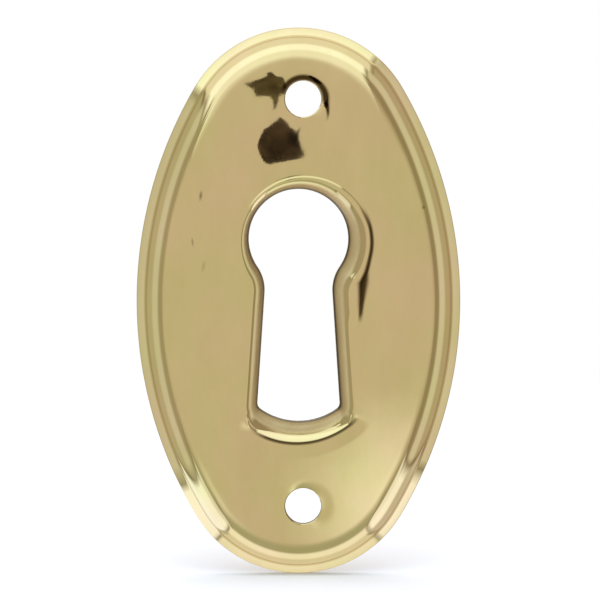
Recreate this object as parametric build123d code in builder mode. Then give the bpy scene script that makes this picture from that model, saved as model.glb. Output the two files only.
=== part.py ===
import os
from math import atan2, degrees, radians, tan

from build123d import *

# An oval keyhole escutcheon pressed from one sheet of brass. It stands upright: Z runs up the plate,
# the front faces -Y, and the back of the brim lies in the plane Y = 0 against the drawer front.

# Oval outline, drawn with four arcs: a round end at the top and at the bottom, and two flatter sides
plate_width = 25.4
plate_height = 42.9
end_radius = 9.4

# Sheet, and the border pressed into it: a brim with its edge taken off, then a riser that leans inward
# as the press needs and a wide bend that carries it over into the field
sheet = 0.6
brim_width = 0.65
brim_edge = 0.3
field_rise = 1.2
riser_lean = 22
bend_inside = 0.85

# Keyhole: a round bow for the key's shank over a slot that widens downward for its bit
bow_dia = 7.8
bow_height = 5.0
neck_width = 5.3
neck_height = 0.95
neck_round = 3.2
slot_foot_width = 6.5
slot_foot_drop = 8.2
sole_sag = 1.15
sole_corner = 0.6

# Lip: the sheet turned back into the keyhole, with a short straight end
lip_inside = 0.7
lip_straight = 0.4

# Screw holes, punched a little to the right of the middle, each in a shallow dimple
hole_dia = 2.8
hole_from_end = 5.55
hole_shift = 0.35
dimple_dia = 4.2
dimple_slope = 10

# Centres of the four arcs, and the angle at which a side passes into an end
half_width = plate_width / 2
half_height = plate_height / 2
end_centre = half_height - end_radius
side_radius = (end_centre**2 + half_width**2 - end_radius**2) / (2 * (half_width - end_radius))
side_centre = side_radius - half_width
end_angle = degrees(atan2(end_centre, side_centre))

# Levels of the field and of the end of the lip in front of the back plane
field_level = sheet + field_rise
bend_outside = bend_inside + sheet
lip_outside = lip_inside + sheet
lip_end = field_level - lip_outside - lip_straight

hole_places = [(hole_shift, side * (half_height - hole_from_end)) for side in (1, -1)]
level_tolerance = 0.01


def oval(stand_in):
    """Face inside the oval that stands in from the outline by a given distance."""
    with BuildSketch() as sketch:
        with BuildLine():
            for side, half_turn in ((1, 0), (-1, 180)):
                CenterArc((0, side * end_centre), end_radius - stand_in, half_turn + end_angle,
                          180 - 2 * end_angle)
                CenterArc((-side * side_centre, 0), side_radius - stand_in, half_turn - end_angle,
                          2 * end_angle)
        make_face()
    return sketch.sketch


def flat_at(part, level):
    """The flat face of a part at one level in front of the back plane."""
    return part.faces().filter_by_position(Axis.Y, -level - level_tolerance, -level + level_tolerance)[0]


def pressed_form(inset, opening):
    """Solid behind a face of the sheet: its front at an inset of 0, its back at an inset of one sheet."""
    brim, field = sheet - inset, field_level - inset
    foot = brim_width + inset * tan(radians((90 - riser_lean) / 2))
    with BuildPart(Plane.XZ) as form:
        # The brim, and the field that stands forward inside it
        with BuildSketch(Plane.XZ.offset(-sheet)):
            add(oval(-inset))
        extrude(amount=sheet + brim)
        with BuildSketch(Plane.XZ.offset(brim)):
            add(oval(foot))
        extrude(amount=field_rise, taper=riser_lean)
        fillet(flat_at(form, field).edges(), radius=bend_outside - inset)

        # The keyhole, with the bend of the lip round its front edge
        with BuildSketch(Plane.XZ.offset(lip_end)):
            add(opening.sketch)
        extrude(amount=field_level, mode=Mode.SUBTRACT)
        fillet(flat_at(form, field).inner_wires().edges(), radius=lip_outside - inset)

        # A shallow cone at each screw hole
        dimple_radius = dimple_dia / 2 - inset * tan(radians(dimple_slope / 2))
        with Locations(*[(x, z, field) for x, z in hole_places]):
            Cone(0, dimple_radius, dimple_radius * tan(radians(dimple_slope)),
                 align=(Align.CENTER, Align.CENTER, Align.MAX), mode=Mode.SUBTRACT)
    return form.part


# Outline of the keyhole
flare = (slot_foot_width - neck_width) / 2 / (neck_height + slot_foot_drop)
slot_root = neck_width / 2 - flare * (bow_height - neck_height)
slot_foot = slot_foot_width / 2
with BuildSketch() as keyhole:
    with BuildLine():
        Polyline((-slot_foot, -slot_foot_drop), (-slot_root, bow_height), (slot_root, bow_height),
                 (slot_foot, -slot_foot_drop))
        SagittaArc((slot_foot, -slot_foot_drop), (-slot_foot, -slot_foot_drop), sole_sag)
    make_face()
    with Locations((0, bow_height)):
        Circle(bow_dia / 2)
    fillet(keyhole.vertices().group_by(Axis.Y)[-1], radius=neck_round)
    fillet(keyhole.vertices().group_by(Axis.Y)[0], radius=sole_corner)

# The same outline behind the sheet
with BuildSketch() as keyhole_behind:
    add(keyhole.sketch)
    offset(amount=sheet)

# The plate is what lies between the form of its front and the form of its back
front_form = pressed_form(0, keyhole)
back_form = pressed_form(sheet, keyhole_behind)
with BuildPart() as escutcheon_plate:
    add(front_form)
    add(back_form, mode=Mode.SUBTRACT)
    chamfer(flat_at(escutcheon_plate, sheet).outer_wire().edges(), length=brim_edge)
    chamfer(flat_at(escutcheon_plate, 0).inner_wires().edges(), length=sheet / 2)

    # Screw holes
    with BuildSketch(Plane.XZ):
        with Locations(*hole_places):
            Circle(hole_dia / 2)
    extrude(amount=field_level, mode=Mode.SUBTRACT)

escutcheon_plate.part.label = "escutcheon_plate"
os.makedirs("parts", exist_ok=True)
export_step(escutcheon_plate.part, "parts/escutcheon_plate.step")
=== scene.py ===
from math import atan2, cos, hypot, pi, radians, sin, sqrt, tan

import bpy
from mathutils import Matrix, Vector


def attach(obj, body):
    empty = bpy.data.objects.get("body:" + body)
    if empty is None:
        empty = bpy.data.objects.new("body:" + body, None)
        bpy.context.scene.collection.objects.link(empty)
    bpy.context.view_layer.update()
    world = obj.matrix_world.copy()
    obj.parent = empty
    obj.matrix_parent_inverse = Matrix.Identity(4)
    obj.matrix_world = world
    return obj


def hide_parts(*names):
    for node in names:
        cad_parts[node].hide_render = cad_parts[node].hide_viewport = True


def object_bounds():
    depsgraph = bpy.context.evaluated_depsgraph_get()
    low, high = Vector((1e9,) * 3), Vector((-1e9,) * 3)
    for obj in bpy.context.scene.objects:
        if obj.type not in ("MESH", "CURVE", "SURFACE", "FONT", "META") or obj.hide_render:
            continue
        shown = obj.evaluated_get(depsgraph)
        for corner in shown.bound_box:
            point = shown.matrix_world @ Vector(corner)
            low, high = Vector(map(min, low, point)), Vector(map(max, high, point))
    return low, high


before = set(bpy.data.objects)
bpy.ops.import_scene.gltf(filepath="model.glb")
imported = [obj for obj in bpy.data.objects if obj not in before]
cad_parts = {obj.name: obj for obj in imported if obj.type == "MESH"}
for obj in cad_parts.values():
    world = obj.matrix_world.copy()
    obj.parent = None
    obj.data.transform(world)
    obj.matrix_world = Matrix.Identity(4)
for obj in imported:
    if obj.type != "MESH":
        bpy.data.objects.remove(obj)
cad_low, cad_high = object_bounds()

# The escutcheon plate: one blank of brass sheet, pressed in a die. A brim lies on the drawer front, a bend
# carries the sheet forward to the flat field, and round the keyhole the sheet is turned back as a lip.
# It is punched for two screws, polished on the front and held by those screws.
mm = 0.001
touching = mm / 1000
close_by = mm / 100
half_width, half_height = cad_high.x, cad_high.z
field_level = -cad_low.y
sheet = 0.6 * mm
brim_width = 0.65 * mm
brim_slope = radians(28)
brim_round = 0.08 * mm
foot_round = 0.35 * mm
riser_lean = radians(22)
bend_round = 1.45 * mm
ease_round = 13 * mm
ease_turn = radians(2.5)
flat_margin = 0.15 * mm
cut_edge = 0.06 * mm
foot_steps, bend_steps, ease_steps = 4, 18, 6
end_steps, side_steps = 64, 64

end_radius = 9.4 * mm
end_centre = half_height - end_radius
side_radius = (end_centre**2 + half_width**2 - end_radius**2) / (2 * (half_width - end_radius))
side_centre = side_radius - half_width
end_angle = atan2(end_centre, side_centre)


def start_line(name, place):
    """Opens a new mesh in edit mode that is one point, the start of a drawn line."""
    bpy.ops.object.select_all(action="DESELECT")
    bpy.ops.mesh.primitive_plane_add(size=mm)
    line = bpy.context.object
    line.name = name
    bpy.ops.object.mode_set(mode="EDIT")
    bpy.ops.mesh.select_mode(type="VERT")
    bpy.ops.mesh.merge(type="CENTER")
    bpy.ops.transform.translate(value=place)
    return line


def run(move):
    """Draws on straight from what is selected: a point makes a line, a line makes a strip."""
    bpy.ops.mesh.extrude_region_move(TRANSFORM_OT_translate={"value": move})


def turn(centre, axis, angle, steps):
    """Draws on from what is selected round an arc."""
    bpy.ops.mesh.spin(center=centre, axis=axis, angle=angle, steps=steps)


def close_seam():
    """Joins the first and the last line of a strip that has come round to its start, and leaves edit mode."""
    bpy.ops.mesh.select_all(action="SELECT")
    bpy.ops.mesh.remove_doubles(threshold=touching)
    bpy.ops.object.mode_set(mode="OBJECT")


# The border's front line is drawn at the top of the oval, from its edge inward, and swept round the four
# arcs of the outline.
lean_turn = pi / 2 - riser_lean
foot_across = foot_round * (cos(riser_lean) - sin(brim_slope))
foot_up = foot_round * (cos(brim_slope) - sin(riser_lean))
foot_start = brim_width + foot_up * tan(riser_lean) - foot_across
bend_run = bend_round * tan(lean_turn / 2)
bend_level = field_level - (ease_round - bend_round) * (1 - cos(ease_turn))
wall_run = (bend_level - sheet - foot_up) / cos(riser_lean) - bend_run
bend_end = brim_width + (bend_level - sheet) * tan(riser_lean) + bend_run
ease_end = bend_end + (ease_round - bend_round) * sin(ease_turn)
across = (1, 0, 0)
forward = (0, 1, 0)
plate = start_line("escutcheon_plate_brass", (0, -sheet, half_height))
run((0, 0, -foot_start))
turn((0, -sheet - foot_round * cos(brim_slope), half_height - foot_start + foot_round * sin(brim_slope)),
     across, lean_turn - brim_slope, foot_steps)
run((0, -wall_run * cos(riser_lean), -wall_run * sin(riser_lean)))
turn((0, bend_round - bend_level, half_height - bend_end), across, ease_turn - lean_turn, bend_steps)
turn((0, ease_round - field_level, half_height - ease_end), across, -ease_turn, ease_steps)
run((0, 0, -flat_margin))
bpy.ops.mesh.select_all(action="SELECT")
turn((0, 0, end_centre), forward, pi / 2 - end_angle, end_steps // 2)
turn((side_centre, 0, 0), forward, 2 * end_angle, side_steps)
turn((0, 0, -end_centre), forward, pi - 2 * end_angle, end_steps)
turn((-side_centre, 0, 0), forward, 2 * end_angle, side_steps)
turn((0, 0, end_centre), forward, pi / 2 - end_angle, end_steps // 2)
close_seam()

# The lip's line is drawn over the middle of the bow: a shallow dip in the field, the crest of the lip and its
# turn back into the hole. It is swept down the left half of the keyhole: round the bow, back round the neck,
# down the flank, round the corner of the sole and along the sole.
lip_round = 1.05 * mm
lip_crease = radians(16)
lip_dip = 1.2 * mm
lip_end = 0.1 * mm
bow_radius = 3.9 * mm
bow_height = 5.0 * mm
neck_width = 5.3 * mm
neck_height = 0.95 * mm
neck_round = 3.2 * mm
foot_width = 6.5 * mm
foot_drop = 8.2 * mm
sole_sag = 1.15 * mm
sole_corner = 0.6 * mm
dip_steps, crest_steps = 10, 40
bow_steps, neck_steps, flank_steps, corner_steps, sole_steps = 44, 16, 12, 12, 14

flare = atan2((foot_width - neck_width) / 2, neck_height + foot_drop)
sole_radius = (foot_width**2 / 4 + sole_sag**2) / (2 * sole_sag)
sole_centre = sole_radius - sole_sag - foot_drop


def beside_flank(offset, centre_height, distance):
    """Centre of an arc that touches the left flank from one side of it and a circle on the middle line."""
    flank_x = -neck_width / 2 - (neck_height - centre_height) * tan(flare)
    start_x = flank_x - offset * cos(flare)
    start_z = offset * sin(flare)
    along = -(start_x * sin(flare) + start_z * cos(flare))
    apart = hypot(start_x, start_z)
    slide = sqrt(distance**2 - apart**2 + along**2) - along
    return start_x - slide * sin(flare), centre_height + start_z - slide * cos(flare)


neck_x, neck_z = beside_flank(neck_round, bow_height, bow_radius + neck_round)
corner_x, corner_z = beside_flank(-sole_corner, sole_centre, sole_radius - sole_corner)
bow_turn = atan2(-neck_x, neck_z - bow_height)
neck_turn = bow_turn - pi / 2 + flare
corner_heading = atan2(sole_centre - corner_z, -corner_x)
flank_length = sqrt((neck_x - corner_x)**2 + (neck_z - corner_z)**2 - (neck_round + sole_corner)**2)
bow_top = bow_height + bow_radius
crease_reach = lip_round * (1 + sin(lip_crease))
crease_depth = lip_round * (1 - cos(lip_crease))
flank_step = flank_length / flank_steps
lip = start_line("lip", (0, -field_level, bow_top + crease_reach + lip_dip + flat_margin))
run((0, 0, -flat_margin))
for step in range(dip_steps):
    fall = (cos(pi * step / dip_steps) - cos(pi * (step + 1) / dip_steps)) / 2
    run((0, crease_depth * fall, -lip_dip / dip_steps))
turn((0, lip_round - field_level, bow_top + lip_round), across, -pi / 2 - lip_crease, crest_steps)
run((0, field_level - lip_round - lip_end, 0))
bpy.ops.mesh.select_all(action="SELECT")
turn((0, 0, bow_height), forward, bow_turn, bow_steps)
turn((neck_x, 0, neck_z), forward, -neck_turn, neck_steps)
for step in range(flank_steps):
    run((-flank_step * sin(flare), 0, -flank_step * cos(flare)))
turn((corner_x, 0, corner_z), forward, corner_heading + flare, corner_steps)
turn((0, 0, sole_centre), forward, pi / 2 - corner_heading, sole_steps)
bpy.ops.object.mode_set(mode="OBJECT")
bpy.ops.object.modifier_add(type="MIRROR")
lip.modifiers["Mirror"].merge_threshold = touching
bpy.ops.object.modifier_apply(modifier="Mirror")

# The press that turned the lip was set low, to the right and a little askew, so the lip is wider on that
# side, most of all round the bow. Under the sole and to the right of the bow it bit into the field, and there
# the crease runs out into a fold beside the neck. A line of painted shade darkens the crease.
sole_press = 0.23 * mm
top_press = 0.25 * mm
flank_press = 0.16 * mm
bow_press = 0.5 * mm
bow_draw = 0.05 * mm
bow_bite = 0.31
bow_bite_end = radians(165)
bow_bite_fade = radians(40)
crest_press = 0.18 * mm
press_askew = radians(3)
sole_top = -0.95 * foot_drop
sole_bite_start = 0.3
sole_bite_fade = 0.6
sole_tip = radians(19)
sole_tip_run = 0.6 * mm
sole_tip_end = 3.6 * mm
sole_tip_taper = 0.45

# The fold hangs from its head, turns, and runs down to a foot, narrowing on the way.
fold_side = 4.8 * mm
fold_lean = 0.07
fold_head = 3.8 * mm
fold_head_lean = 0.3
fold_head_narrowing = 0.4
fold_turn = 1.6 * mm
fold_foot = -1.5 * mm
fold_foot_run = 0.2 * mm
fold_foot_fade = 0.8 * mm
fold_blunt = 0.25 * mm
fold_least = 0.2 * mm
fold_spread = 0.125
fold_edge = 0.3 * mm

# Painted shade lies in the crease in a line that thins out, and the inside of the lip is dull.
shade_width = 0.17 * mm
shade_core = 1.4
shade_thinned = 0.3
bow_shade_end = radians(38)
bow_shade_fade = radians(30)
sole_shade_stop = -2.4 * mm
sole_shade_stop_fade = 1.6 * mm
dull_reach = 0.78 * mm
dull_fade = 0.4 * mm


def ease(share):
    """A share held between 0 and 1 that starts and ends softly."""
    share = min(max(share, 0), 1)
    return share**2 * (3 - 2 * share)


hole_edge = [corner.co.copy() for corner in lip.data.vertices if abs(corner.co.y + lip_end) < touching]
for skin in ("painted_shade", "dull_skin"):
    lip.data.attributes.new(skin, "FLOAT", "POINT")
painted_shade, dull_skin = lip.data.attributes["painted_shade"], lip.data.attributes["dull_skin"]
for corner in lip.data.vertices:
    edge = min(hole_edge, key=lambda point: hypot(corner.co.x - point.x, corner.co.z - point.z))
    aside, up = corner.co.x - edge.x, corner.co.z - edge.z
    from_edge = hypot(aside, up)
    share = min(from_edge / crease_reach, 1)
    dull_skin.data[corner.index].value = ease((dull_reach - from_edge) / dull_fade)
    bow_share = ease(edge.z / bow_height)
    corner.co.x += share * (flank_press + (bow_press - flank_press) * bow_share)
    corner.co.z -= share * (sole_press + (top_press - sole_press) * bow_share)
    if from_edge < close_by:
        continue
    corner.co.x -= share * bow_share * bow_draw * aside / from_edge
    corner.co.z -= share * bow_share * bow_draw * up / from_edge
    shaded = 1
    unshaded = 0
    if edge.z < sole_top:
        unshaded = ease((sole_shade_stop - corner.co.x) / sole_shade_stop_fade)
        bite = ease((-up / from_edge - sole_bite_start) / sole_bite_fade)
        corner.co.z += share * bite * corner.co.x * tan(press_askew)
        tip_share = 1 - sole_tip_taper * min(abs(corner.co.x) / sole_tip_end, 1)**2
        tip_run = min(max(crease_reach - from_edge, 0), sole_tip_run * tip_share)
        corner.co.y += bite * tan(sole_tip) * tip_run * min(from_edge / (crease_reach - sole_tip_run), 1)
    elif corner.co.z > bow_height:
        angle = atan2(corner.co.z - bow_height, corner.co.x)
        shaded = ease((bow_shade_end - angle) / bow_shade_fade)
        bite = max(shaded, bow_bite * ease((bow_bite_end - angle) / bow_bite_fade))
    elif corner.co.x > 0:
        bite = ease((corner.co.z - fold_foot + fold_foot_run) / fold_foot_fade)
    else:
        bite = 0
    crest = crest_press * bite * shaded * sin(pi * share**2) / from_edge
    corner.co.x += crest * aside
    corner.co.z += crest * up
    if from_edge < lip_round:
        continue
    corner.co.y = (corner.co.y + field_level) * bite - field_level
    line_width = shade_width
    from_line = abs(from_edge - crease_reach)
    if bite > 0 and fold_head > corner.co.z > -foot_drop / 2:
        above_turn = max(corner.co.z - fold_turn, 0)
        fold = fold_side + fold_lean * (corner.co.z - fold_foot) + fold_head_lean * above_turn
        stretch = min((from_edge - lip_round) / (crease_reach - lip_round), 1)
        pulled = max(fold + max(from_edge - crease_reach, 0) - corner.co.x, 0)
        pulled *= ease((fold_head - corner.co.z) / (fold_head - fold_turn))
        corner.co.x += stretch * pulled
        in_fold = min(pulled / fold_edge, 1)
        fold_width = fold_spread * max(corner.co.z - fold_foot + fold_blunt, fold_least)
        fold_width -= fold_head_narrowing * above_turn
        from_line += (abs(corner.co.x - fold) - from_line) * in_fold
        line_width += (max(fold_width, shade_width) - line_width) * in_fold * ease((corner.co.z + mm) / mm)
        line_width *= shade_thinned + (1 - shade_thinned) * ease((corner.co.z - fold_foot) / mm)
    # The crease and the fold get a line of painted shade: on the right of the bow, beside the neck and along
    # the sole.
    painted_shade.data[corner.index].value = shaded * bite * (1 - unshaded) * ease(shade_core - from_line / line_width)

# Each screw hole was punched from the front, which drew the sheet round it down a little.
hole_radius = 1.4 * mm
hole_from_end = 5.55 * mm
hole_height = half_height - hole_from_end
hole_shift = 0.35 * mm
dish_radius = 2.3 * mm
dish_depth = 0.023 * mm
dish_right = 0.3 * mm
dish_down = 0.1 * mm
deep_right, deep_up = 0.8, 0.6
deep_spread = 0.3
dish_steps, hole_steps = 16, 120
dish = start_line("dish", (hole_shift + dish_radius + flat_margin, -field_level, hole_height))
run((-flat_margin, 0, 0))
for step in range(dish_steps):
    fall = ((step + 1) / dish_steps)**2 - (step / dish_steps)**2
    run(((hole_radius - dish_radius) / dish_steps, dish_depth * fall, 0))
bpy.ops.mesh.select_all(action="SELECT")
turn((hole_shift, 0, hole_height), forward, 2 * pi, hole_steps)
close_seam()
for corner in dish.data.vertices:
    aside, up = corner.co.x - hole_shift, corner.co.z - hole_height
    from_hole = hypot(aside, up)
    drawn = ease((deep_right * aside + deep_up * up) / from_hole + deep_spread)
    corner.co.y = (corner.co.y + field_level) * drawn - field_level
    share = min((from_hole - hole_radius) / (dish_radius - hole_radius), 1)
    corner.co.x += dish_right * share
    corner.co.z -= dish_down * share
bpy.ops.object.duplicate()
lower_dish = bpy.context.object
bpy.ops.transform.translate(value=(0, 0, -2 * hole_height))
bpy.ops.object.transform_apply(location=True, rotation=False, scale=False)

# A painted dark reflection lies at the upper hole too: an arc over its top and down its right side, where it
# trails outward.
arc_radius = 1.76 * mm
arc_drawn_in = 0.1 * mm
arc_drawn_by = radians(80)
arc_trail = 0.9 * mm
arc_trail_by = radians(60)
arc_width = 0.24 * mm
arc_swell = 0.06 * mm
arc_swell_at = radians(12)
arc_swell_fade = radians(45)
arc_thinned_by = radians(52)
arc_start = radians(170)
arc_start_fade = radians(25)
arc_end = radians(-46)
arc_end_fade = radians(20)
arc_painted_reflection = dish.data.attributes.new("painted_shade", "FLOAT", "POINT")
for corner in dish.data.vertices:
    aside, up = corner.co.x - hole_shift, corner.co.z - hole_height
    angle = atan2(up, aside)
    drawn_in = arc_drawn_in * ease(angle / arc_drawn_by)
    line_radius = arc_radius - drawn_in + arc_trail * ease(-angle / arc_trail_by)
    line_width = arc_width + arc_swell * ease(1 - abs(angle - arc_swell_at) / arc_swell_fade)
    line_width *= shade_thinned + (1 - shade_thinned) * ease((angle + arc_thinned_by) / arc_thinned_by)
    strength = ease((arc_start - angle) / arc_start_fade) * ease((angle - arc_end) / arc_end_fade)
    from_line = abs(hypot(aside, up) - line_radius)
    arc_painted_reflection.data[corner.index].value = strength * ease(shade_core - from_line / line_width)


def keep_edges(belongs):
    """Leaves selected, of the selected edges of the plate, those whose two ends both belong."""
    bpy.ops.object.mode_set(mode="OBJECT")
    corners = plate.data.vertices
    for corner in corners:
        corner.select = belongs(corner.co)
    for edge in plate.data.edges:
        edge.select = edge.select and all(corners[end].select for end in edge.vertices)
    for face in plate.data.polygons:
        face.select = False
    bpy.ops.object.mode_set(mode="EDIT")


# The four strips become one sheet: the flat field is filled in between them and the sheet gets its thickness.
for strip in (lip, dish, lower_dish, plate):
    strip.select_set(True)
bpy.context.view_layer.objects.active = plate
bpy.ops.object.join()
bpy.ops.object.mode_set(mode="EDIT")
bpy.ops.mesh.select_mode(type="EDGE")
bpy.ops.mesh.select_all(action="DESELECT")
bpy.ops.mesh.select_non_manifold()
keep_edges(lambda corner: abs(corner.y + field_level) < touching)
bpy.ops.mesh.fill(use_beauty=True)
bpy.ops.mesh.select_all(action="SELECT")
bpy.ops.mesh.normals_make_consistent(inside=False)
bpy.ops.object.mode_set(mode="OBJECT")
if sum(face.normal.y * face.area for face in plate.data.polygons) > 0:
    bpy.ops.object.mode_set(mode="EDIT")
    bpy.ops.mesh.flip_normals()
    bpy.ops.object.mode_set(mode="OBJECT")
bpy.ops.object.modifier_add(type="SOLIDIFY")
thickness = plate.modifiers["Solidify"]
thickness.thickness = sheet
thickness.offset = -1
thickness.use_even_offset = True
thickness.use_quality_normals = True
bpy.ops.object.modifier_apply(modifier="Solidify")

past_brim = 1.5 * brim_width
square_turn = radians(55)
smooth_turn = radians(30)


def round_square_edges(belongs, width, segments):
    """Rounds the square edges of the sheet whose two ends both belong."""
    bpy.ops.object.mode_set(mode="EDIT")
    bpy.ops.mesh.select_mode(type="EDGE")
    bpy.ops.mesh.select_all(action="DESELECT")
    bpy.ops.mesh.edges_select_sharp(sharpness=square_turn)
    keep_edges(belongs)
    bpy.ops.mesh.bevel(offset=width, segments=segments, affect="EDGES", profile=0.5)
    bpy.ops.object.mode_set(mode="OBJECT")


def from_outline(corner):
    """How far a corner stands in from the outline of the oval."""
    if atan2(abs(corner.z) - end_centre, abs(corner.x)) > end_angle:
        return end_radius - hypot(corner.x, abs(corner.z) - end_centre)
    return side_radius - hypot(abs(corner.x) + side_centre, corner.z)


# The brim falls away to its outer edge, which is rounded. The other cut edges are only broken.
round_square_edges(lambda corner: from_outline(corner) > past_brim, cut_edge, segments=3)
bpy.ops.object.mode_set(mode="EDIT")
bpy.ops.mesh.select_all(action="SELECT")
keep_edges(lambda corner: from_outline(corner) < close_by and corner.y < -sheet / 2)
bpy.ops.transform.translate(value=(0, foot_start * tan(brim_slope), 0))
bpy.ops.object.mode_set(mode="OBJECT")
round_square_edges(lambda corner: from_outline(corner) < close_by and corner.y < -sheet / 4,
                   brim_round, segments=4)
round_square_edges(lambda corner: from_outline(corner) < close_by and corner.y > -sheet / 8,
                   cut_edge, segments=2)
bpy.ops.object.shade_smooth_by_angle(angle=smooth_turn)

# The buffing wheel only reached the front: the steep inside of the lip, the cut edges and the back stay dull.
# The steep edges round the holes get painted shade, more where they face left, and so do dull faces that face
# up.
dull_from, dull_to = radians(55), radians(80)
dark_from, dark_to = radians(52), radians(74)
back_from = radians(100)
hole_painted_shade = 0.72
left_painted_shade = 0.2
left_lead = radians(6)
up_facing_shade = 0.22
least_slope = 0.001
painted_shade, dull_skin = plate.data.attributes["painted_shade"], plate.data.attributes["dull_skin"]
for corner in plate.data.vertices:
    slope = atan2(hypot(corner.normal.x, corner.normal.z), -corner.normal.y)
    steep = ease((slope - dull_from) / (dull_to - dull_from))
    dull = max(dull_skin.data[corner.index].value, steep)
    dull_skin.data[corner.index].value = dull
    if slope > back_from:
        painted_shade.data[corner.index].value = 0
    elif from_outline(corner.co) > ease_end:
        # Painted shade on the steep edges round the holes, more where they face left, and on dull faces that
        # face up.
        facing_left = max(-corner.normal.x / sin(slope + least_slope), 0)
        facing_up = max(corner.normal.z / sin(slope + least_slope), 0)
        darkened = ease((slope + left_lead * facing_left - dark_from) / (dark_to - dark_from))
        dark = (hole_painted_shade + left_painted_shade * facing_left) * darkened
        up_facing_painted_shade = up_facing_shade * dull * facing_up
        painted_shade.data[corner.index].value = max(painted_shade.data[corner.index].value, dark, up_facing_painted_shade)

# The brass: a warm yellow metal, buffed bright. The buffing left it faintly wavy and finely scratched.
polished_brass = bpy.data.materials.new("polished_brass")
polished_brass.use_nodes = True
nodes = polished_brass.node_tree.nodes
links = polished_brass.node_tree.links
brass = nodes["Principled BSDF"]
brass.inputs["Metallic"].default_value = 1
place = nodes.new("ShaderNodeTexCoord").outputs["Object"]


def feed(socket, value):
    """Gives a socket a plain number or colour, or what another node puts out."""
    if isinstance(value, bpy.types.NodeSocket):
        links.new(value, socket)
    else:
        socket.default_value = value


def cloudy(over, scale, detail, roughness=0.5):
    """A cloudy pattern over a piece, as a share between 0 and 1."""
    cloud = nodes.new("ShaderNodeTexNoise")
    cloud.inputs["Scale"].default_value = scale
    cloud.inputs["Detail"].default_value = detail
    cloud.inputs["Roughness"].default_value = roughness
    links.new(over, cloud.inputs["Vector"])
    return cloud.outputs["Fac"]


def brass_tones(share, start, end, first_tone, last_tone):
    """Tones of the brass, which pass from the first to the last as a share goes from start to end."""
    tones = nodes.new("ShaderNodeValToRGB")
    first, last = tones.color_ramp.elements
    first.position, first.color = start, first_tone
    last.position, last.color = end, last_tone
    links.new(share, tones.inputs["Fac"])
    return tones.outputs["Color"]


def spread(value, start, end, least=0, most=1, kind="LINEAR"):
    """Passes from least to most as a value goes from start to end."""
    reach = nodes.new("ShaderNodeMapRange")
    reach.interpolation_type = kind
    for name, number in (("From Min", start), ("From Max", end), ("To Min", least), ("To Max", most)):
        reach.inputs[name].default_value = number
    links.new(value, reach.inputs["Value"])
    return reach.outputs["Result"]


# Where the two colours go into a mix, and where the blended one comes out
first_colour, second_colour, blended_colour = 6, 7, 2


def blended(share, first, second, kind="MIX"):
    """Colours that pass from the first to the second as a share goes from 0 to 1."""
    mix = nodes.new("ShaderNodeMix")
    mix.data_type = "RGBA"
    mix.blend_type = kind
    feed(mix.inputs["Factor"], share)
    feed(mix.inputs[first_colour], first)
    feed(mix.inputs[second_colour], second)
    return mix.outputs[blended_colour]


def reckoned(operation, *terms):
    """The result of one sum on values that change over a piece, or on plain numbers."""
    step = nodes.new("ShaderNodeMath")
    step.operation = operation
    for socket, term in zip(step.inputs, terms):
        feed(socket, term)
    return step.outputs["Value"]


# Its tone changes in patches, is browner where it is dull, and is streaked along the way it was buffed.
bright_tones = ((0.775, 0.665, 0.30, 1), (0.83, 0.645, 0.34, 1))
dull_tones = ((0.59, 0.43, 0.20, 1), (0.70, 0.53, 0.265, 1))
streak_tones = ((0.965, 0.96, 0.94, 1), (1.035, 1.035, 1.05, 1))
patch_low, patch_high = 0.35, 0.65
cloud_low, cloud_high = 0.3, 0.7
buffed_lean = radians(-7)
buffed_grain = (420, 420, 150)
tone_patches = cloudy(place, scale=160, detail=3)
bright_tone = brass_tones(tone_patches, patch_low, patch_high, *bright_tones)
dull_tone = brass_tones(tone_patches, cloud_low, cloud_high, *dull_tones)
dull_share = nodes.new("ShaderNodeAttribute")
dull_share.attribute_name = "dull_skin"
skin_tone = blended(dull_share.outputs["Fac"], bright_tone, dull_tone)
buffed_along = nodes.new("ShaderNodeMapping")
buffed_along.inputs["Rotation"].default_value = (0, buffed_lean, 0)
buffed_along.inputs["Scale"].default_value = buffed_grain
links.new(place, buffed_along.inputs["Vector"])
streaks = cloudy(buffed_along.outputs["Vector"], scale=1, detail=5, roughness=0.65)
streak_tone = brass_tones(streaks, cloud_low, cloud_high, *streak_tones)
streaked = blended(1, skin_tone, streak_tone, "MULTIPLY")

# Over that lie the painted shade and four short scratches, each with its place, width and height in mm, its
# lean in degrees and its darkness.
shade_and_scratch_colour = (0.075, 0.045, 0.014, 1)
marks = ((-7.6, 8.4, 0.16, 0.5, 8, 0.6), (-8.25, 4.8, 0.11, 0.45, -6, 0.45),
         (-7.4, 2.9, 0.2, 0.6, 10, 0.2), (9.7, 7.5, 0.17, 0.2, 0, 0.5))
mark_reach = 0.3 * mm
mark_core = 0.2
painted_shade_share = nodes.new("ShaderNodeAttribute")
painted_shade_share.attribute_name = "painted_shade"
dark_share = painted_shade_share.outputs["Fac"]
for mark_x, mark_z, wide, tall, lean, darkness in marks:
    mark = nodes.new("ShaderNodeMapping")
    mark.vector_type = "TEXTURE"
    mark.inputs["Location"].default_value = (mark_x * mm, -field_level, mark_z * mm)
    mark.inputs["Rotation"].default_value = (0, radians(lean), 0)
    mark.inputs["Scale"].default_value = (wide * mm, mark_reach, tall * mm)
    links.new(place, mark.inputs["Vector"])
    away = nodes.new("ShaderNodeVectorMath")
    away.operation = "LENGTH"
    links.new(mark.outputs["Vector"], away.inputs[0])
    scratch = spread(away.outputs["Value"], 1, mark_core, 0, darkness)
    dark_share = reckoned("MAXIMUM", dark_share, scratch)
links.new(blended(dark_share, streaked, shade_and_scratch_colour), brass.inputs["Base Color"])

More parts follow.
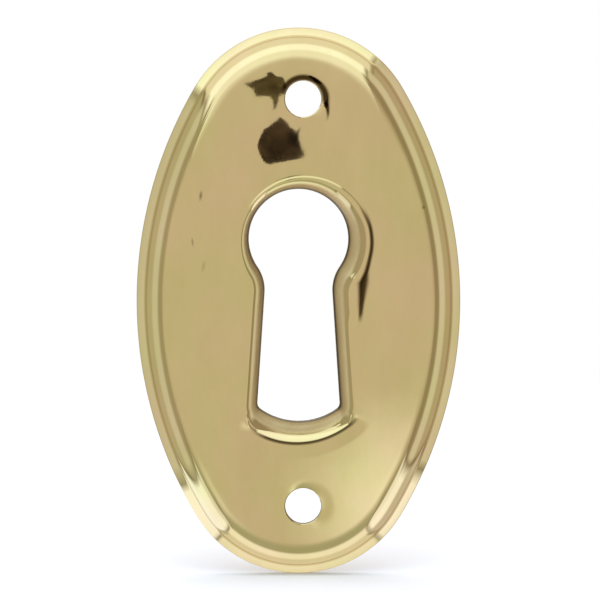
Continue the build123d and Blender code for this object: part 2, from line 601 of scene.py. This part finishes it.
# The front is faintly hazy and wavy, and the dull skin is matt.
bright_haze = (0.01, 0.024)
dull_haze = (0.4, 0.6)
ripple_share = 0.02
wave_height = 0.012 * mm
haze = cloudy(place, scale=420, detail=4)
skin_haze = nodes.new("ShaderNodeMix")
links.new(dull_share.outputs["Fac"], skin_haze.inputs["Factor"])
links.new(spread(haze, cloud_low, cloud_high, *bright_haze), skin_haze.inputs["A"])
links.new(spread(haze, cloud_low, cloud_high, *dull_haze), skin_haze.inputs["B"])
links.new(skin_haze.outputs["Result"], brass.inputs["Roughness"])
buffing = cloudy(place, scale=230, detail=1)
ripple = cloudy(place, scale=1300, detail=2)
waviness = nodes.new("ShaderNodeBump")
waviness.inputs["Strength"].default_value = 1
waviness.inputs["Distance"].default_value = wave_height
links.new(reckoned("MULTIPLY_ADD", ripple, ripple_share, buffing), waviness.inputs["Height"])
links.new(waviness.outputs["Normal"], brass.inputs["Normal"])

plate.data.materials.clear()
plate.data.materials.append(polished_brass)
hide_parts("escutcheon_plate")
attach(plate, "root")

# The floor: a sheet of white card that the plate stands on. It is matt and takes the plate's shadow, and it
# is laid so wide that its edge isn't seen.
floor_radius = 160 * mm
floor_white = (0.92, 0.92, 0.92, 1)
bpy.ops.object.select_all(action="DESELECT")
bpy.ops.mesh.primitive_circle_add(vertices=96, radius=floor_radius, fill_type="NGON",
                                  location=(0, 0, cad_low.z))
floor = bpy.context.object
floor.name = "floor"
floor.visible_glossy = False
white_card = bpy.data.materials.new("white_card")
white_card.use_nodes = True
card = white_card.node_tree.nodes["Principled BSDF"]
card.inputs["Base Color"].default_value = floor_white
card.inputs["Roughness"].default_value = 1
card.inputs["Specular IOR Level"].default_value = 0
floor.data.materials.append(white_card)

# The light tent: a round of translucent cloth about the plate, lit from outside. It is bright over the plate
# and in a strip at each lower corner, duller at the sides, and dim in a ring about the opening in front.
tent_radius = 400 * mm
tent_tilt = radians(-4)
bpy.ops.object.select_all(action="DESELECT")
bpy.ops.mesh.primitive_uv_sphere_add(segments=64, ring_count=32, radius=tent_radius)
tent = bpy.context.object
tent.name = "tent"
tent.visible_camera = False
tent_cloth = bpy.data.materials.new("tent_cloth")
tent_cloth.use_nodes = True
nodes = tent_cloth.node_tree.nodes
links = tent_cloth.node_tree.links
nodes.clear()
place = nodes.new("ShaderNodeTexCoord").outputs["Object"]
tilt = nodes.new("ShaderNodeMapping")
tilt.inputs["Rotation"].default_value = (tent_tilt, 0, 0)
links.new(place, tilt.inputs["Vector"])
axes = nodes.new("ShaderNodeSeparateXYZ")
links.new(tilt.outputs["Vector"], axes.inputs["Vector"])
round_share = spread(reckoned("ARCTAN2", axes.outputs["X"], axes.outputs["Z"]), -pi, pi)
off_axis = reckoned("ARCCOSINE", reckoned("MULTIPLY", axes.outputs["Y"], -1 / tent_radius))

# The cloth is sewn in rings of six panels. The seams stand at these shares of the way round.
seam_colour = (0.26, 0.23, 0.17, 1)
seam_reach = 0.0044
rim_ends = (0.098, 0.157, 0.372, 0.588, 0.840, 0.897)
near_ends = (0.098, 0.157, 0.356, 0.600, 0.838, 0.894)
middle_ends = (0.106, 0.161, 0.341, 0.608, 0.833, 0.893)
outer_ends = (0.104, 0.160, 0.336, 0.619, 0.832, 0.897)


def cloth_ring(panel_ends, bottom, lower_left, left, top, right, lower_right):
    """Colours of the cloth round one ring of the tent, from the bottom round by the left, with dark seams."""
    ring = nodes.new("ShaderNodeValToRGB")
    stops = ring.color_ramp.elements
    panels = (bottom, lower_left, left, top, right, lower_right, bottom)
    stops[0].position = 0
    stops[0].color = (*bottom, 1)
    stops[1].position = 1
    stops[1].color = (*bottom, 1)
    for end, before, after in zip(panel_ends, panels, panels[1:]):
        stops.new(end - seam_reach).color = (*before, 1)
        stops.new(end).color = seam_colour
        stops.new(end + seam_reach).color = (*after, 1)
    links.new(round_share, ring.inputs["Fac"])
    return ring.outputs["Color"]


def cross_over(inner, outer, start, end):
    """Passes from the inner colour to the outer one between two angles off the tent's axis."""
    share = spread(off_axis, radians(start), radians(end), kind="SMOOTHSTEP")
    return blended(share, inner, outer)


rim_ring = cloth_ring(rim_ends, (0.46, 0.49, 0.41), (0.46, 0.46, 0.38), (0.43, 0.41, 0.35),
                      (1.06, 1.17, 1.26), (0.36, 0.32, 0.26), (0.44, 0.43, 0.35))
near_ring = cloth_ring(near_ends, (0.46, 0.49, 0.41), (0.90, 0.97, 1.15), (0.43, 0.41, 0.35),
                       (1.06, 1.17, 1.26), (0.36, 0.32, 0.26), (1.05, 1.12, 1.40))
middle_ring = cloth_ring(middle_ends, (1.08, 1.13, 1.30), (1.20, 1.32, 1.70), (0.70, 0.73, 0.76),
                         (1.24, 1.43, 1.66), (0.74, 0.76, 0.80), (1.20, 1.28, 1.65))
outer_ring = cloth_ring(outer_ends, (0.84, 0.84, 0.85), (1.20, 1.35, 1.90), (0.55, 0.55, 0.48),
                        (0.96, 1.00, 1.03), (0.54, 0.50, 0.45), (0.68, 0.67, 0.74))
back_ring = cloth_ring(outer_ends, (0.84, 0.80, 0.76), (0.98, 1.03, 1.20), (0.44, 0.42, 0.35),
                       (0.93, 0.96, 1.00), (0.43, 0.39, 0.32), (0.68, 0.67, 0.74))
front_opening = (0.66, 0.63, 0.60, 1)


def lit_patch(inner, colour, across_angle, up_angle, radius):
    """Adds a soft lit patch to the cloth in front, at two angles from the plate's middle."""
    away = nodes.new("ShaderNodeVectorMath")
    away.operation = "DISTANCE"
    away.inputs[1].default_value = (tent_radius * sin(radians(across_angle)) * cos(radians(up_angle)),
                                    -tent_radius * cos(radians(across_angle)) * cos(radians(up_angle)),
                                    tent_radius * sin(radians(up_angle)))
    links.new(place, away.inputs[0])
    share = spread(away.outputs["Value"], tent_radius * radians(radius), 0, kind="SMOOTHSTEP")
    return blended(share, inner, (*colour, 1))


# Two lit patches lie in the opening. Each ring takes over from what is inside it between two angles off the
# tent's axis, in degrees.
cloth = lit_patch(front_opening, (1.06, 1.11, 1.20), across_angle=3.9, up_angle=-10.8, radius=4.6)
cloth = lit_patch(cloth, (0.95, 0.98, 1.05), across_angle=-4.5, up_angle=-12.5, radius=3.5)
for ring, start, end in ((rim_ring, 8, 13), (near_ring, 15, 20), (middle_ring, 26, 44), (outer_ring, 64, 84),
                         (back_ring, 105, 140)):
    cloth = cross_over(cloth, ring, start, end)
glow = nodes.new("ShaderNodeEmission")
links.new(cloth, glow.inputs["Color"])
tent_out = nodes.new("ShaderNodeOutputMaterial")
links.new(glow.outputs["Emission"], tent_out.inputs["Surface"])
tent.data.materials.append(tent_cloth)

# The dark cards: two torn pieces of black card, stained and matt, held up beside the lens. They show as dark
# shapes in the polished field.
camera_distance = 200 * mm
low_corners = ((-2.1, 14.7), (-2.4, 13.9), (-3.5, 13.0), (-3.8, 12.2), (-4.3, 11.5), (-4.6, 10.3),
               (-4.3, 8.9), (-4.2, 7.9), (-3.3, 7.9), (-0.9, 8.3), (0.6, 8.7), (1.7, 9.3), (1.5, 10.8),
               (1.3, 12.0), (1.7, 12.7), (0.9, 12.2), (-0.4, 12.8), (-1.7, 14.2))
high_corners = ((-6.9, 20.4), (-5.7, 20.5), (-4.1, 21.3), (-4.0, 22.1), (-3.3, 22.3), (-2.5, 21.5),
                (-0.8, 21.3), (-0.2, 20.2), (-0.7, 18.9), (-1.4, 18.7), (-2.2, 18.2), (-2.8, 16.6),
                (-3.1, 16.0), (-3.3, 17.4), (-3.8, 18.1), (-4.9, 18.5), (-5.4, 19.6))
low_stains = ((0.016, 0.012, 0.012, 1), (0.090, 0.064, 0.044, 1))
high_stains = ((0.040, 0.031, 0.018, 1), (0.150, 0.122, 0.075, 1))
blot_low, blot_high = 0.35, 0.7

# The stains are one effect, which each card has in its own two tones.
card_stains = bpy.data.node_groups.new("card_stains", "ShaderNodeTree")
for tone in ("Dark", "Light"):
    card_stains.interface.new_socket(tone, in_out="INPUT", socket_type="NodeSocketColor")
card_stains.interface.new_socket("Stained", in_out="OUTPUT", socket_type="NodeSocketColor")
nodes = card_stains.nodes
links = card_stains.links
place = nodes.new("ShaderNodeTexCoord").outputs["Object"]
card_tones = nodes.new("NodeGroupInput")
stains_out = nodes.new("NodeGroupOutput")
blots = spread(cloudy(place, scale=320, detail=4), blot_low, blot_high)
stained = blended(blots, card_tones.outputs["Dark"], card_tones.outputs["Light"])
links.new(stained, stains_out.inputs["Stained"])

for name, shape, tones in (("card_low", low_corners, low_stains), ("card_high", high_corners, high_stains)):
    black_card = bpy.data.materials.new(name)
    black_card.use_nodes = True
    nodes = black_card.node_tree.nodes
    black = nodes["Principled BSDF"]
    stains = nodes.new("ShaderNodeGroup")
    stains.node_tree = card_stains
    stains.inputs["Dark"].default_value, stains.inputs["Light"].default_value = tones
    black_card.node_tree.links.new(stains.outputs["Stained"], black.inputs["Base Color"])
    black.inputs["Roughness"].default_value = 1
    black.inputs["Specular IOR Level"].default_value = 0
    dark_card = start_line(name, (shape[0][0] * mm, -camera_distance, shape[0][1] * mm))
    for (from_x, from_z), (to_x, to_z) in zip(shape, shape[1:]):
        run(((to_x - from_x) * mm, 0, (to_z - from_z) * mm))
    bpy.ops.mesh.select_all(action="SELECT")
    bpy.ops.mesh.edge_face_add()
    bpy.ops.object.mode_set(mode="OBJECT")
    dark_card.visible_camera = False
    dark_card.visible_diffuse = False
    dark_card.visible_shadow = False
    dark_card.data.materials.append(black_card)

# The lamp: a round soft lamp that hangs over the plate and brings the white card of the floor up to white.
# It is screened off from the metal, and the room about it is plain white.
lamp_height = 300 * mm
lamp_width = 350 * mm
lamp_power = 0.46
lamp_colour = (1.0, 0.95, 1.06)
bpy.ops.object.light_add(type="AREA", location=(0, 0, lamp_height))
overhead = bpy.context.object
overhead.name = "overhead"
overhead.data.shape = "DISK"
overhead.data.size = lamp_width
overhead.data.energy = lamp_power
overhead.data.color = lamp_colour
overhead.visible_glossy = False

white_room = bpy.data.worlds.new("white_room")
bpy.context.scene.world = white_room
white_room.use_nodes = True
room = white_room.node_tree.nodes["Background"]
room.inputs["Color"].default_value = (1, 1, 1, 1)
room.inputs["Strength"].default_value = 1

# The camera: it stands in front of the plate with a long lens, a little above its middle and to the left,
# and is turned to look at the middle.
camera_height = 14 * mm
camera_shift = -1.2 * mm
aim_height = 0.16 * mm
aim_shift = 0.12 * mm
lens_length = 153.1
film_width = 36
bpy.ops.object.camera_add(location=(camera_shift, -camera_distance, camera_height))
camera = bpy.context.object
camera.data.lens = lens_length
camera.data.sensor_width = film_width
look_down = atan2(camera_height - aim_height, camera_distance)
look_aside = atan2(camera_shift - aim_shift, camera_distance)
camera.rotation_euler = (pi / 2 - look_down, 0, look_aside)
bpy.context.scene.camera = camera
bpy.context.scene.view_settings.view_transform = "Standard"
